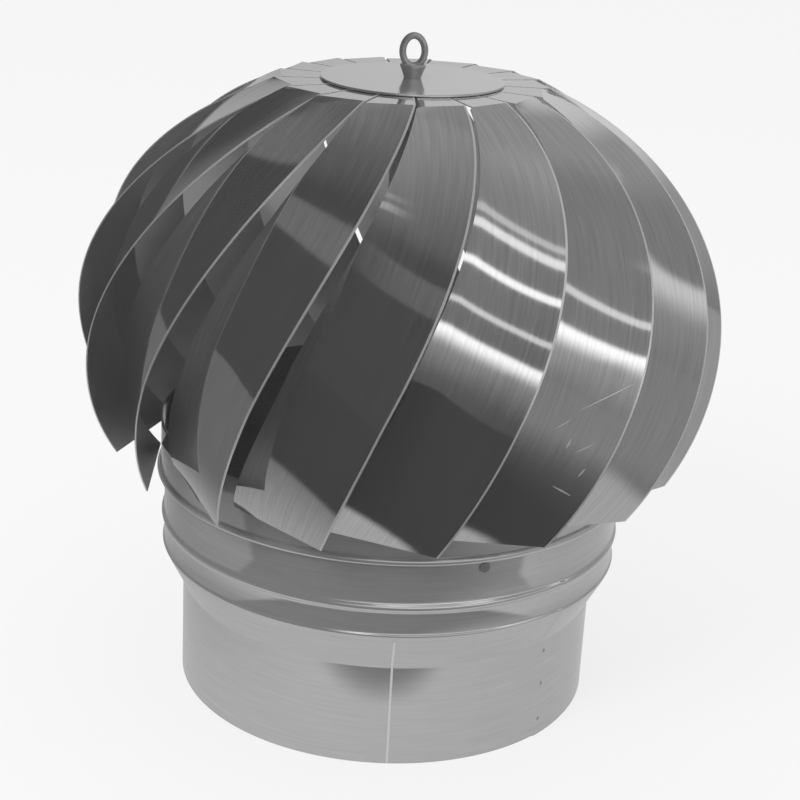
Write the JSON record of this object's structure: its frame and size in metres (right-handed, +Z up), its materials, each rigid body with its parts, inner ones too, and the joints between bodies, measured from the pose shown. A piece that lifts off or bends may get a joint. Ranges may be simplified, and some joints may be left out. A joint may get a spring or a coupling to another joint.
{
  "type": "rotating chimney cowl",
  "caption": "Wind-driven chimney cowl: a globe of slanted sheet-metal blades turns on a shaft above a stepped pipe that fits a flue.",
  "frame": {"origin": "centre of the pipe's lower rim", "axes": "+Z up along the axis the head turns about, -Y towards the camera side of the picture, +X to its right"},
  "size_m": [0.2986, 0.298, 0.3139],
  "materials": {
    "pipe_sheet": "polished sheet",
    "blade_sheet": "polished sheet, faintly brushed",
    "disc_sheet": "polished sheet",
    "machined_steel": "machined",
    "bearing_steel": "ground",
    "rivet_metal": "plain",
    "eye_metal": "cast, dull"
  },
  "bodies": {
    "base": {"base_pipe": "pipe_sheet", "bearing_housing": "machined_steel", "bracket_arm_1": "machined_steel", "bracket_arm_2": "machined_steel", "bracket_arm_3": "machined_steel", "arm_rivets": "rivet_metal", "ball_bearings": "bearing_steel"},
    "rotor": {"rotor_shaft": "machined_steel", "lock_nut": "machined_steel", "clamp_disc": "disc_sheet", "top_disc": "disc_sheet", "lifting_eye": "eye_metal", "skirt_ring": "pipe_sheet", "blade_01": "blade_sheet", "blade_02": "blade_sheet", "blade_03": "blade_sheet", "blade_04": "blade_sheet", "blade_05": "blade_sheet", "blade_06": "blade_sheet", "blade_07": "blade_sheet", "blade_08": "blade_sheet", "blade_09": "blade_sheet", "blade_10": "blade_sheet", "blade_11": "blade_sheet", "blade_12": "blade_sheet", "blade_13": "blade_sheet", "blade_14": "blade_sheet", "blade_15": "blade_sheet", "blade_16": "blade_sheet", "blade_17": "blade_sheet"}
  },
  "joints": [
    {"name": "rotor_spin", "type": "hinge", "parent": "base", "child": "rotor", "pos_m": [0, 0, 0.112], "axis": [0, 0, 1], "continuous": true}
  ]
}
